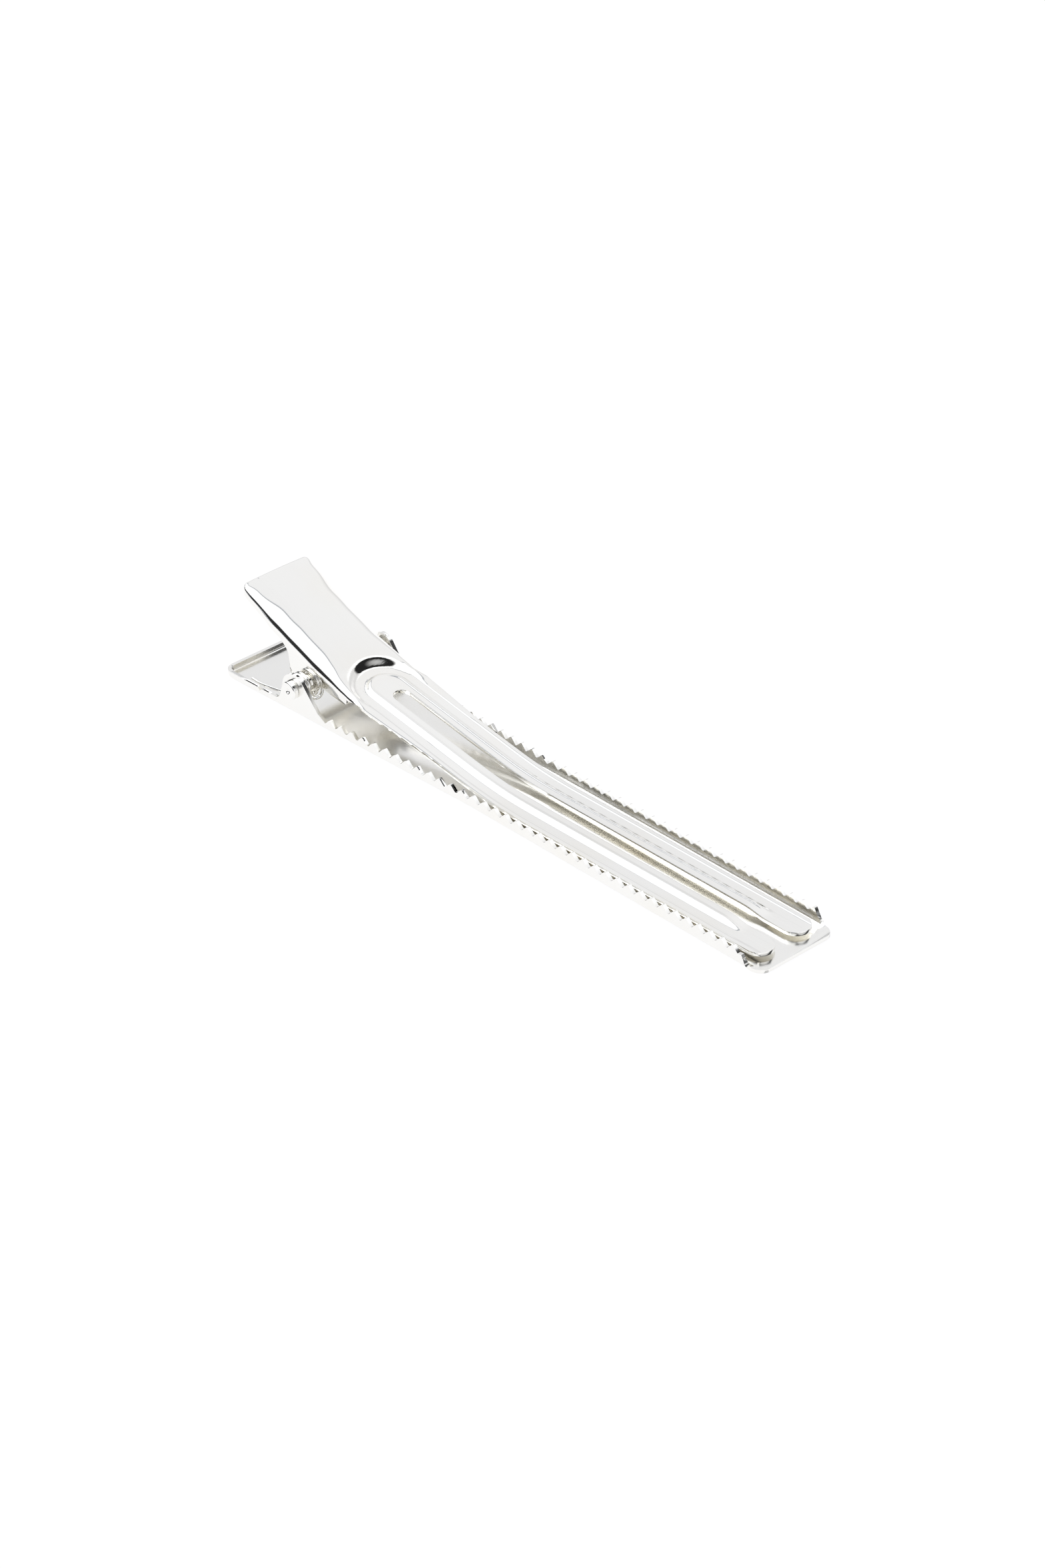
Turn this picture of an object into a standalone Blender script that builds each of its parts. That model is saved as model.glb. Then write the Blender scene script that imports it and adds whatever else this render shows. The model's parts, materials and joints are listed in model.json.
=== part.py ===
"""Sectioning clip: a long hair clip of stamped, bright plated sheet steel.

Four pieces: a toothed lower jaw with a finger tray, a two-pronged upper jaw
with a thumb plate, a double torsion spring and the rivet they turn on.
Lengths below are millimetres; MM turns them into metres.  X runs from the
thumb end to the tip, Y runs across the clip and Z is up, with Z = 0 under the
lower jaw.  Stations along the clip are counted from the pivot.
"""
import math

import bmesh
import bpy
from mathutils import Matrix, Vector

MM = 0.001

# Overall
LENGTH = 97.0
PIVOT_FROM_REAR = 13.5
PIVOT_Z = 3.8
REAR = -PIVOT_FROM_REAR
FRONT = LENGTH - PIVOT_FROM_REAR
PIVOT_X = PIVOT_FROM_REAR - LENGTH / 2.0
SHEET = 0.5

# Lower jaw: a channel that narrows from the tray to the toothed walls
TRAY_HALF_WIDTH = 8.5
WALL_HALF_WIDTH = 6.75
TAPER_END = 32.0
FLOOR_BEND = 0.8
TRAY_CORNER = 1.6
TRAY_RIM_Z = 1.25
BLANK_WALL_Z = 6.6
WALL_END = 80.8
LIP_HALF_WIDTH = 6.5
LIP_CORNER = 1.7
EAR_TIP = (0.25, 3.85)
EAR_TIP_RADIUS = 2.15
EAR_FOOT_FRONT = 4.6
TOOTH_PITCH = 2.0
TOOTH_DEPTH = 0.75
TOOTH_FLAT = 0.3
FIRST_CREST = 6.9
TOOTH_COUNT = 37
CREST_Z_REAR = 1.95
CREST_Z_FRONT = 2.45

# Upper jaw: thumb plate, recessed pan, raised bead round the slot, prongs
UPPER_REAR = -12.5
THUMB_HALF_WIDTH = 5.75
PRONG_HALF_WIDTH = 5.15
THUMB_REAR_Z = 12.6
THUMB_SLOPE = 0.378
PRONG_SLOPE = 0.156
TIP_RISE = 0.005
THUMB_LIFT = 0.7
THUMB_ROLL = 1.5
PRONG_ROLL = 0.6
SLOT_CENTRE = 12.4
SLOT_HALF_WIDTH = 1.22
PAN_CENTRE = 10.0
PAN_DEPTH = 0.1
BEAD_HEIGHT = 0.52
BEAD_TOP_RADIUS = 2.2
BEAD_FOOT_RADIUS = 3.2
BEAD_END = 76.5
TIP_CENTRE = 79.9
SKIRT_FRONT = 7.9
UPPER_EAR_RADIUS = 2.05

# Rivet and spring
PIN_RADIUS = 1.15
PIN_HEAD_RADIUS = 1.3
PIN_HALF_LENGTH = 8.85
PIN_FIT = 0.08
DIMPLE_RADIUS = 0.42
WIRE_RADIUS = 0.24
COIL_RADIUS = 1.62
COIL_PITCH = 0.5
COIL_TURNS = 2.125
COIL_OUTER_Y = 7.12

PARTS_COLLECTION = "sectioning_clip"
CUTTERS_COLLECTION = "cutters"


# ---------------------------------------------------------------- helpers
def clear_scene():
    for obj in list(bpy.data.objects):
        bpy.data.objects.remove(obj, do_unlink=True)


def new_collection(name):
    collection = bpy.data.collections.new(name)
    bpy.context.scene.collection.children.link(collection)
    return collection


def metal(name, colour, roughness):
    material = bpy.data.materials.new(name)
    material.use_nodes = True
    shader = material.node_tree.nodes["Principled BSDF"]
    shader.inputs["Base Color"].default_value = (*colour, 1.0)
    shader.inputs["Metallic"].default_value = 1.0
    shader.inputs["Roughness"].default_value = roughness
    material.diffuse_color = (*colour, 1.0)
    return material


def object_from_bmesh(bm, name, collection):
    mesh = bpy.data.meshes.new(name)
    bm.to_mesh(mesh)
    bm.free()
    obj = bpy.data.objects.new(name, mesh)
    collection.objects.link(obj)
    return obj


def object_from_curve(curve, name, collection):
    """Turn a curve drawn in millimetres into a mesh object with welded caps."""
    holder = bpy.data.objects.new(name + "_curve", curve)
    collection.objects.link(holder)
    bpy.context.view_layer.update()
    evaluated = holder.evaluated_get(bpy.context.evaluated_depsgraph_get())
    mesh = bpy.data.meshes.new_from_object(evaluated)
    bpy.data.objects.remove(holder, do_unlink=True)
    bm = bmesh.new()
    bm.from_mesh(mesh)
    bmesh.ops.remove_doubles(bm, verts=bm.verts, dist=1e-4)
    bmesh.ops.recalc_face_normals(bm, faces=bm.faces)
    bm.to_mesh(mesh)
    bm.free()
    obj = bpy.data.objects.new(name, mesh)
    collection.objects.link(obj)
    return obj


def prism(name, outline, half_thickness, collection):
    """A flat outline in its own XY plane, extruded both ways along Z."""
    curve = bpy.data.curves.new(name, "CURVE")
    curve.dimensions = "2D"
    curve.fill_mode = "BOTH"
    curve.extrude = half_thickness
    spline = curve.splines.new("POLY")
    spline.points.add(len(outline) - 1)
    for point, (x, y) in zip(spline.points, outline):
        point.co = (x, y, 0.0, 1.0)
    spline.use_cyclic_u = True
    obj = object_from_curve(curve, name, collection)
    obj.data.transform(Matrix.Scale(MM, 4))
    return obj


def side_prism(name, outline, y_low, y_high, collection):
    """A prism across the clip whose outline is drawn in the XZ plane."""
    obj = prism(name, outline, (y_high - y_low) / 2.0, collection)
    obj.matrix_world = (
        Matrix.Translation(((PIVOT_X) * MM, (y_low + y_high) / 2.0 * MM, 0.0))
        @ Matrix.Rotation(math.radians(90.0), 4, "X")
    )
    return as_cutter(obj)


def as_cutter(obj):
    obj.hide_render = True
    obj.display_type = "WIRE"
    return obj


def boolean(obj, other, operation="DIFFERENCE"):
    modifier = obj.modifiers.new(operation.lower() + "_" + other.name, "BOOLEAN")
    modifier.operation = operation
    modifier.object = other
    return modifier


def cylinder_across(name, radius, half_length, collection, segments=32):
    """A cylinder along Y through the pivot."""
    bm = bmesh.new()
    bmesh.ops.create_cone(
        bm, cap_ends=True, segments=segments, radius1=radius * MM,
        radius2=radius * MM, depth=2.0 * half_length * MM,
    )
    obj = object_from_bmesh(bm, name, collection)
    obj.matrix_world = (
        Matrix.Translation((PIVOT_X * MM, 0.0, PIVOT_Z * MM))
        @ Matrix.Rotation(math.radians(90.0), 4, "X")
    )
    return as_cutter(obj)


def smooth_step(low, high, value):
    t = min(max((value - low) / (high - low), 0.0), 1.0)
    return t * t * (3.0 - 2.0 * t)


def knee(x, at, width):
    """Zero before a bend at `at`, rising with slope one after it."""
    t = (x - at) / width + 0.5
    if t <= 0.0:
        return 0.0
    if t >= 1.0:
        return x - at
    return width * (t ** 3 - t ** 4 / 2.0)


def arc(centre, radius, start_deg, end_deg, steps):
    points = []
    for i in range(steps + 1):
        angle = math.radians(start_deg + (end_deg - start_deg) * i / steps)
        points.append((centre[0] + radius * math.cos(angle),
                       centre[1] + radius * math.sin(angle)))
    return points


def shade(obj, angle_deg=35.0):
    obj.data.shade_smooth()
    obj.data.set_sharp_from_angle(angle=math.radians(angle_deg))


# -------------------------------------------------------------- lower jaw
def lower_half_width(x):
    """Outer half width of the channel at a station."""
    share = (TAPER_END - min(x, TAPER_END)) / (TAPER_END - REAR)
    return WALL_HALF_WIDTH + (TRAY_HALF_WIDTH - WALL_HALF_WIDTH) * share


def tray_path(inset):
    """Plan line of the wall at an inset: near front, round the tray, far front."""
    corner = TRAY_CORNER - inset
    stations = [WALL_END, 66.0, 50.0, TAPER_END, 18.0, 4.0, -4.0]
    near = [(x, -(lower_half_width(x) - inset)) for x in stations]
    side = lower_half_width(REAR + TRAY_CORNER) - inset
    centre = (REAR + TRAY_CORNER, -(side - corner))
    near += arc(centre, corner, 270.0, 180.0, 5)
    return near + [(x, -y) for x, y in reversed(near)]


def channel_blank(collection):
    """Floor and plain walls of the channel as one open sheet."""
    bm = bmesh.new()
    bend = FLOOR_BEND - SHEET / 2.0
    middle = SHEET / 2.0
    floor = [(x, y, middle) for x, y in tray_path(middle + bend)]
    ring = [bm.verts.new((x * MM, y * MM, z * MM)) for x, y, z in floor]
    bm.faces.new(ring)
    edges = [bm.edges.get((a, b)) for a, b in zip(ring[:-1], ring[1:])]
    steps = 4
    levels = []
    for i in range(1, steps + 1):
        angle = math.radians(90.0 * i / steps)
        levels.append((middle + bend * (1.0 - math.sin(angle)),
                       middle + bend * (1.0 - math.cos(angle))))
    levels.append((middle, BLANK_WALL_Z))
    for inset, z in levels:
        result = bmesh.ops.extrude_edge_only(bm, edges=edges)
        new_verts = [v for v in result["geom"] if isinstance(v, bmesh.types.BMVert)]
        new_set = set(new_verts)
        ring = [next(e.other_vert(v) for e in v.link_edges if e.other_vert(v) in new_set)
                for v in ring]
        for vert, (x, y) in zip(ring, tray_path(inset)):
            vert.co = Vector((x * MM, y * MM, z * MM))
        edges = [bm.edges.get((a, b)) for a, b in zip(ring[:-1], ring[1:])]
    bmesh.ops.recalc_face_normals(bm, faces=bm.faces)
    obj = object_from_bmesh(bm, "lower_jaw", collection)
    obj.location.x = PIVOT_X * MM
    thick = obj.modifiers.new("sheet", "SOLIDIFY")
    thick.thickness = SHEET * MM
    thick.offset = 0.0
    thick.use_even_offset = True
    return obj


def front_lip(collection):
    """Flat lip of the floor beyond the walls, with rounded corners."""
    back = WALL_END - 0.6
    corner_y = LIP_HALF_WIDTH - LIP_CORNER
    corner_x = FRONT - LIP_CORNER
    outline = [(back, -LIP_HALF_WIDTH)]
    outline += arc((corner_x, -corner_y), LIP_CORNER, 270.0, 360.0, 6)
    outline += arc((corner_x, corner_y), LIP_CORNER, 0.0, 90.0, 6)
    outline += [(back, LIP_HALF_WIDTH)]
    obj = prism("front_lip", outline, SHEET / 2.0, collection)
    obj.location = (PIVOT_X * MM, 0.0, SHEET / 2.0 * MM)
    return as_cutter(obj)


def crest_height(x):
    share = (x - FIRST_CREST) / (WALL_END - FIRST_CREST)
    return CREST_Z_REAR + (CREST_Z_FRONT - CREST_Z_REAR) * share


def wall_cutter(collection):
    """Everything above the walls: tray rim, ear and the line of the crests."""
    line = [(REAR - 1.0, TRAY_RIM_Z), (-6.9, TRAY_RIM_Z), (-6.3, TRAY_RIM_Z - 0.35)]
    line += [(-5.6, TRAY_RIM_Z)]
    line += arc((-3.4, TRAY_RIM_Z + 1.0), 1.0, 270.0, 345.0, 4)
    line += arc(EAR_TIP, EAR_TIP_RADIUS, 168.0, 40.0, 10)
    line += [(EAR_FOOT_FRONT, crest_height(EAR_FOOT_FRONT) + 0.1)]
    line += [(FIRST_CREST, crest_height(FIRST_CREST))]
    line += [(WALL_END - 0.5, crest_height(WALL_END)), (WALL_END + 0.2, SHEET + 0.4)]
    line += [(FRONT + 1.0, SHEET + 0.4)]
    top = BLANK_WALL_Z + 2.0
    outline = line + [(line[-1][0], top), (line[0][0], top)]
    return side_prism("wall_cutter", outline, -11.0, 11.0, collection)


def tooth_gaps(name, first_gap, y_low, y_high, collection):
    """A row of V-shaped notches with flat bottoms, rising with the crests."""
    bottom = crest_height(first_gap) - TOOTH_DEPTH
    over = 0.1
    half_top = (TOOTH_PITCH - TOOTH_FLAT) / 2.0
    lean = (half_top - TOOTH_FLAT / 2.0) / TOOTH_DEPTH
    half_over = half_top + lean * over
    outline = [
        (first_gap - TOOTH_FLAT / 2.0, bottom), (first_gap + TOOTH_FLAT / 2.0, bottom),
        (first_gap + half_over, bottom + TOOTH_DEPTH + over),
        (first_gap - half_over, bottom + TOOTH_DEPTH + over),
    ]
    notch = side_prism(name, outline, y_low, y_high, collection)
    rise = crest_height(TOOTH_PITCH) - crest_height(0.0)
    row = notch.modifiers.new("row", "ARRAY")
    row.count = TOOTH_COUNT
    row.use_relative_offset = False
    row.use_constant_offset = True
    row.constant_offset_displace = (TOOTH_PITCH * MM, rise * MM, 0.0)
    return notch


def make_lower_jaw(parts, cutters):
    jaw = channel_blank(parts)
    boolean(jaw, wall_cutter(cutters))
    half_pitch = TOOTH_PITCH / 2.0
    near_gap = FIRST_CREST - half_pitch
    boolean(jaw, tooth_gaps("near_tooth_gaps", near_gap, -11.0, -3.0, cutters))
    boolean(jaw, tooth_gaps("far_tooth_gaps", near_gap + half_pitch, 3.0, 11.0, cutters))
    boolean(jaw, front_lip(cutters), "UNION")
    boolean(jaw, cylinder_across("lower_pin_hole", PIN_RADIUS + PIN_FIT, 10.0, cutters))
    jaw.data.materials.append(metal("lower_jaw_plating", (0.86, 0.86, 0.85), 0.08))
    shade(jaw)
    return jaw


# -------------------------------------------------------------- upper jaw
def edge_height(x):
    """Top of the sheet along the outer edge of the upper jaw."""
    z = THUMB_REAR_Z - THUMB_SLOPE * (x + 12.1)
    z += (THUMB_SLOPE - PRONG_SLOPE) * knee(x, 6.6, 3.0)
    z += (PRONG_SLOPE + TIP_RISE) * knee(x, 33.8, 14.0)
    return z


def upper_half_width(x):
    return THUMB_HALF_WIDTH + (PRONG_HALF_WIDTH - THUMB_HALF_WIDTH) * smooth_step(9.0, 24.0, x)


def roll_radius(x):
    return THUMB_ROLL + (PRONG_ROLL - THUMB_ROLL) * smooth_step(2.0, 10.5, x)


def top_height(x, y):
    """Top of the sheet inside the rolled edge."""
    beside = abs(y)
    if x < PAN_CENTRE:
        distance = math.hypot(x - PAN_CENTRE, beside)
    else:
        distance = beside
    ahead = smooth_step(8.0, 13.0, x)
    step_low = 4.5 - 0.3 * ahead
    step_high = 5.4 - 0.8 * ahead
    lift = THUMB_LIFT + (0.02 - THUMB_LIFT) * smooth_step(5.0, 12.0, x)
    rise = (PAN_DEPTH + lift) * smooth_step(step_low, step_high, distance)
    fade = 1.0 - smooth_step(BEAD_END - 3.0, BEAD_END, x)
    bead = BEAD_HEIGHT * fade * (1.0 - smooth_step(BEAD_TOP_RADIUS, BEAD_FOOT_RADIUS, distance))
    return edge_height(x) - PAN_DEPTH + rise + bead


def upper_stations():
    """Stations along the jaw, closest together round the end of the pan."""
    thumb = [UPPER_REAR, -9.0, -5.5, -2.0, 1.0, 3.2]
    pan = [4.2 + 0.65 * i for i in range(15)]
    prong = [15.0, 18.0, 21.5, 25.5, 30.0, 34.0, 38.0, 42.0, 52.0, 62.0, 71.0, 74.0, 77.0, 82.5]
    return thumb + pan + prong


def section(x):
    """Half of the sheet's upper outline across the jaw, as (y, z) pairs."""
    roll = roll_radius(x)
    inner = upper_half_width(x) - roll
    lines = [0.0, SLOT_HALF_WIDTH, 1.75, 2.2, 2.55, 2.9, 3.25, 3.9, 4.4]
    squeeze = min(inner / (lines[-1] + 0.3), 1.0)
    points = [(y * squeeze, top_height(x, y * squeeze)) for y in lines]
    side_z = top_height(x, inner)
    points.append((inner, side_z))
    for i in range(1, 4):
        angle = math.radians(30.0 * i)
        points.append((inner + roll * math.sin(angle),
                       side_z - roll * (1.0 - math.cos(angle))))
    points.append((points[-1][0], 1.2 if x < 0.0 else 0.7))
    return points


def make_upper_jaw(parts, cutters):
    stations = upper_stations()
    half = len(section(0.0)) - 1
    bm = bmesh.new()
    bmesh.ops.create_grid(bm, x_segments=len(stations) - 1, y_segments=2 * half, size=1.0)
    for vert in bm.verts:
        row = round((vert.co.x + 1.0) / 2.0 * (len(stations) - 1))
        column = round((vert.co.y + 1.0) * half) - half
        x = stations[row]
        y, z = section(x)[abs(column)]
        vert.co = Vector((x * MM, math.copysign(y, column) * MM, z * MM))
    jaw = object_from_bmesh(bm, "upper_jaw", parts)
    # The mesh hangs from the pivot, so that the object's origin is on the hinge axis.
    jaw.data.transform(Matrix.Translation((0.0, 0.0, -PIVOT_Z * MM)))
    jaw.location = (PIVOT_X * MM, 0.0, PIVOT_Z * MM)
    thick = jaw.modifiers.new("sheet", "SOLIDIFY")
    thick.thickness = SHEET * MM
    thick.offset = -1.0
    thick.use_even_offset = True
    boolean(jaw, skirt_cutter(cutters))
    boolean(jaw, slot_cutter(cutters))
    boolean(jaw, tip_cutter(cutters))
    boolean(jaw, cylinder_across("upper_pin_hole", PIN_RADIUS + PIN_FIT, 6.6, cutters))
    jaw.data.materials.append(metal("upper_jaw_plating", (0.87, 0.87, 0.86), 0.06))
    shade(jaw)
    return jaw


def skirt_cutter(collection):
    """Everything under the lower edge of the skirts and ears."""
    line = [(UPPER_REAR - 1.0, PIVOT_Z + 8.75), (-5.1, PIVOT_Z + 4.7)]
    line += arc((-4.3, PIVOT_Z + 3.0), 1.3, 60.0, 10.0, 4)
    line += [(-3.0, PIVOT_Z + 0.6)]
    line += arc((0.0, PIVOT_Z), UPPER_EAR_RADIUS, 205.0, 330.0, 12)
    line += [(2.9, PIVOT_Z + 0.65), (SKIRT_FRONT - 0.6, PIVOT_Z + 0.1)]
    line += arc((SKIRT_FRONT - 0.4, PIVOT_Z + 0.4), 0.3, 290.0, 360.0, 3)
    line += [(x, edge_height(x) - PAN_DEPTH - SHEET - 0.02) for x in (9.9, 14.0)]
    line += [(x, edge_height(x) - SHEET - 0.02) for x in (20.0, 28.0, 34.0, 40.0, 60.0)]
    line += [(FRONT + 2.0, edge_height(FRONT + 2.0) - SHEET - 0.02)]
    outline = line + [(FRONT + 2.0, -2.0), (UPPER_REAR - 1.0, -2.0)]
    return side_prism("skirt_cutter", outline, -8.0, 8.0, collection)


def slot_cutter(collection):
    outline = arc((SLOT_CENTRE, 0.0), SLOT_HALF_WIDTH, 90.0, 270.0, 12)
    tip = TIP_CENTRE
    middle = (PRONG_HALF_WIDTH + SLOT_HALF_WIDTH) / 2.0
    radius = (PRONG_HALF_WIDTH - SLOT_HALF_WIDTH) / 2.0
    outline += arc((tip, -middle), radius, 90.0, 0.0, 8)
    outline += [(FRONT + 2.0, -middle), (FRONT + 2.0, middle)]
    outline += arc((tip, middle), radius, 0.0, -90.0, 8)
    obj = prism("slot_cutter", outline, 10.0, collection)
    obj.location = (PIVOT_X * MM, 0.0, 0.0)
    return as_cutter(obj)


def tip_cutter(collection):
    """Rounds the outer corners of both prong tips."""
    middle = (PRONG_HALF_WIDTH + SLOT_HALF_WIDTH) / 2.0
    radius = (PRONG_HALF_WIDTH - SLOT_HALF_WIDTH) / 2.0
    outline = arc((TIP_CENTRE, -middle), radius, 270.0, 360.0, 8)
    outline += [(FRONT + 2.0, -middle), (FRONT + 2.0, -8.0), (TIP_CENTRE, -8.0)]
    near = prism("near_tip_cutter", outline, 10.0, collection)
    near.location = (PIVOT_X * MM, 0.0, 0.0)
    mirror = near.modifiers.new("far_side", "MIRROR")
    mirror.use_axis = (False, True, False)
    mirror.merge_threshold = 0.0001
    return as_cutter(near)


# ------------------------------------------------------------------ rivet
def make_pin(parts):
    """Turned rivet across both pairs of ears, with a dimple in each end."""
    ear_face = lower_half_width(0.0)
    head_start = ear_face + 0.15
    end = PIN_HALF_LENGTH
    half = [
        (0.0, end - 0.4), (DIMPLE_RADIUS, end - 0.05), (DIMPLE_RADIUS + 0.1, end),
        (PIN_HEAD_RADIUS - 0.25, end), (PIN_HEAD_RADIUS, end - 0.25),
        (PIN_HEAD_RADIUS, head_start + 0.1), (PIN_RADIUS, head_start),
    ]
    profile = half + [(radius, -along) for radius, along in reversed(half)]
    bm = bmesh.new()
    verts = [bm.verts.new((radius * MM, 0.0, along * MM)) for radius, along in profile]
    for a, b in zip(verts[:-1], verts[1:]):
        bm.edges.new((a, b))
    pin = object_from_bmesh(bm, "pivot_pin", parts)
    turn = pin.modifiers.new("turn", "SCREW")
    turn.axis = "Z"
    turn.steps = 24
    turn.render_steps = 24
    turn.use_merge_vertices = True
    turn.merge_threshold = 0.00001
    pin.matrix_world = (
        Matrix.Translation((PIVOT_X * MM, 0.0, PIVOT_Z * MM))
        @ Matrix.Rotation(math.radians(90.0), 4, "X")
    )
    pin.data.materials.append(metal("pivot_pin_plating", (0.82, 0.82, 0.81), 0.12))
    return pin


# ----------------------------------------------------------------- spring
def spring_half():
    """Near half of the wire's centre line, from the tray leg to the middle."""
    floor_rest = SHEET + WIRE_RADIUS + 0.3 - PIVOT_Z
    path = [(-9.0, -COIL_OUTER_Y, floor_rest), (-7.0, -COIL_OUTER_Y, floor_rest)]
    path += [(-3.5, -COIL_OUTER_Y, -COIL_RADIUS - 0.55)]
    per_turn = 14
    steps = round(per_turn * COIL_TURNS)
    for i in range(steps + 1):
        turned = COIL_TURNS * i / steps
        angle = math.radians(-90.0 + 360.0 * turned)
        y = -COIL_OUTER_Y + COIL_PITCH * turned
        path.append((COIL_RADIUS * math.cos(angle), y, COIL_RADIUS * math.sin(angle)))
    crossing = [(-42.0, 2.15, -5.95), (-36.0, 2.45, -5.7), (-30.0, 2.5, -5.2)]
    crossing += [(-18.0, 2.3, -4.85), (0.0, 2.0, -4.7), (25.0, 1.8, -4.65)]
    crossing += [(50.0, 1.75, -4.6), (75.0, 1.75, -4.6), (100.0, 1.8, -4.6)]
    for angle_deg, radius, y in crossing:
        angle = math.radians(angle_deg)
        path.append((radius * math.cos(angle), y, radius * math.sin(angle)))
    path += [(-3.0, -4.6, 3.3), (-7.6, -4.5, 6.35), (-8.15, -4.3, 6.72), (-8.4, -3.8, 6.88)]
    path += [(-8.45, -2.0, 6.92)]
    return path


def make_spring(parts):
    half = spring_half()
    path = half + [(x, -y, z) for x, y, z in reversed(half)]
    curve = bpy.data.curves.new("torsion_spring", "CURVE")
    curve.dimensions = "3D"
    curve.bevel_depth = WIRE_RADIUS * MM
    curve.bevel_resolution = 2
    curve.use_fill_caps = True
    spline = curve.splines.new("POLY")
    spline.points.add(len(path) - 1)
    for point, (x, y, z) in zip(spline.points, path):
        point.co = (x * MM, y * MM, z * MM, 1.0)
    spring = bpy.data.objects.new("torsion_spring", curve)
    parts.objects.link(spring)
    spring.location = (PIVOT_X * MM, 0.0, PIVOT_Z * MM)
    curve.materials.append(metal("spring_wire", (0.80, 0.77, 0.70), 0.15))
    return spring


def main():
    clear_scene()
    parts = new_collection(PARTS_COLLECTION)
    cutters = new_collection(CUTTERS_COLLECTION)
    make_lower_jaw(parts, cutters)
    make_upper_jaw(parts, cutters)
    make_pin(parts)
    make_spring(parts)


main()
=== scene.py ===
# %% [markdown]
# # A sectioning clip in bright plated steel
# The clip is two stampings, one bent wire and one rivet.  The stampings are 0.5 mm sheet that has been
# polished and plated, so nearly all that the eye gets is reflections.  Reflections are unforgiving: they
# show every facet.  This lesson therefore rebuilds the four pieces as fine, smooth sheets, in the frame
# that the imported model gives, and spends its effort on clean curvature, thin rounded edges and a studio
# that is worth reflecting.

# %% Load the frame
import json
import math

import bmesh
import bpy
from mathutils import Matrix, Vector, noise


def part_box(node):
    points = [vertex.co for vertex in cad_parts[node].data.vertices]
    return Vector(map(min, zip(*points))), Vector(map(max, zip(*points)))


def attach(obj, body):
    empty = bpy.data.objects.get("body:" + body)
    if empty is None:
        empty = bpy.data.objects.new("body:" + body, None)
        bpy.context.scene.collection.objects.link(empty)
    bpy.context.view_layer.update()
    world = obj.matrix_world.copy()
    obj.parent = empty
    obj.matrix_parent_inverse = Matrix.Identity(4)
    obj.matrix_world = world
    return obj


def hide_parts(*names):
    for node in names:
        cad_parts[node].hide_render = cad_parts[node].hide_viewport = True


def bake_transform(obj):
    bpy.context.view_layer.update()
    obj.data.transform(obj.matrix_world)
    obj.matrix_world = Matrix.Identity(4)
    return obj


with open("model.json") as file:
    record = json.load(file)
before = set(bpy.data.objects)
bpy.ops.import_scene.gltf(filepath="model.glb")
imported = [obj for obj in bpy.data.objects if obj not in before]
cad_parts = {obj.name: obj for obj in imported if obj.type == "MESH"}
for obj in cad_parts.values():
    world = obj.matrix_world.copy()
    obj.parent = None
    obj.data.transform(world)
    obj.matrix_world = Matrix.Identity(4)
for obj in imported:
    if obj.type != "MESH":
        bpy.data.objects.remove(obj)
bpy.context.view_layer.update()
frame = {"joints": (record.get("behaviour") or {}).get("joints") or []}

MM = 0.001
HINGE = frame["joints"][0]
PIVOT = Vector(HINGE["pos_m"]) / MM
low_corner, high_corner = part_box("lower_jaw")
REAR = low_corner.x / MM - PIVOT.x
FRONT = high_corner.x / MM - PIVOT.x
print("hinge at", [round(v, 2) for v in PIVOT], "mm, clip from", round(REAR, 2), "to", round(FRONT, 2))


# %% [markdown]
# ## The camera
# The clip is seen from the front right and a little above, with a long lens, so it is almost drawn in
# parallel projection.  The camera's place, aim and lens are set first, because how large a bevel or a
# grain looks depends on them.

# %% Camera
CAMERA_PLACE = Vector((0.3872, -0.3644, 0.3419))
CAMERA_AIM = Vector((-0.6136, 0.5774, -0.5386))
LENS_MM = 114.75

camera_data = bpy.data.cameras.new("product_camera")
camera_data.lens = LENS_MM
camera_data.sensor_width = 36.0
camera_data.clip_start = 0.01
camera = bpy.data.objects.new("product_camera", camera_data)
bpy.context.scene.collection.objects.link(camera)
camera.location = CAMERA_PLACE
camera.rotation_euler = CAMERA_AIM.to_track_quat("-Z", "Y").to_euler()
bpy.context.scene.camera = camera
print("camera", round(CAMERA_PLACE.length, 3), "m from the origin")


# %% [markdown]
# ## Small helpers
# A pressed sheet is drawn once, as an open surface, and then gets its thickness from Solidify and its
# thin rounded edges from Bevel.  `smooth_step` and `knee` describe how one flat runs into the next:
# `knee` is zero before a bend and has slope one after it, with a soft corner of a chosen width.

# %% Helpers
SHEET = 0.5
EDGE_ROUND = 0.09
SHARP_ANGLE = math.radians(50.0)
HOLE_RADIUS = 1.2


def smooth_step(low, high, value):
    t = min(max((value - low) / (high - low), 0.0), 1.0)
    return t * t * (3.0 - 2.0 * t)


def knee(x, at, width):
    t = (x - at) / width + 0.5
    if t <= 0.0:
        return 0.0
    if t >= 1.0:
        return x - at
    return width * (t ** 3 - t ** 4 / 2.0)


def ramp(value, foot, foot_round, top, top_round):
    """Zero before the foot, one after the top, straight between, with two corners of their own radius."""
    return (knee(value, foot, foot_round) - knee(value, top, top_round)) / (top - foot)


def along(line, x):
    """Height of a broken line at a station."""
    for (x0, z0), (x1, z1) in zip(line[:-1], line[1:]):
        if x <= x1:
            return z0 + (z1 - z0) * min(max((x - x0) / (x1 - x0), 0.0), 1.0)
    return line[-1][1]


def arc(centre, radius, start_deg, end_deg, steps):
    angles = [math.radians(start_deg + (end_deg - start_deg) * i / steps) for i in range(steps + 1)]
    return [(centre[0] + radius * math.cos(a), centre[1] + radius * math.sin(a)) for a in angles]


def spaced(start, end, step):
    count = max(1, round((end - start) / step))
    return [start + (end - start) * i / count for i in range(count)]


def place(x, y, z):
    """A point given from the hinge's station, the middle plane and the table, in millimetres."""
    return Vector(((x + PIVOT.x) * MM, y * MM, z * MM))


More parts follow.
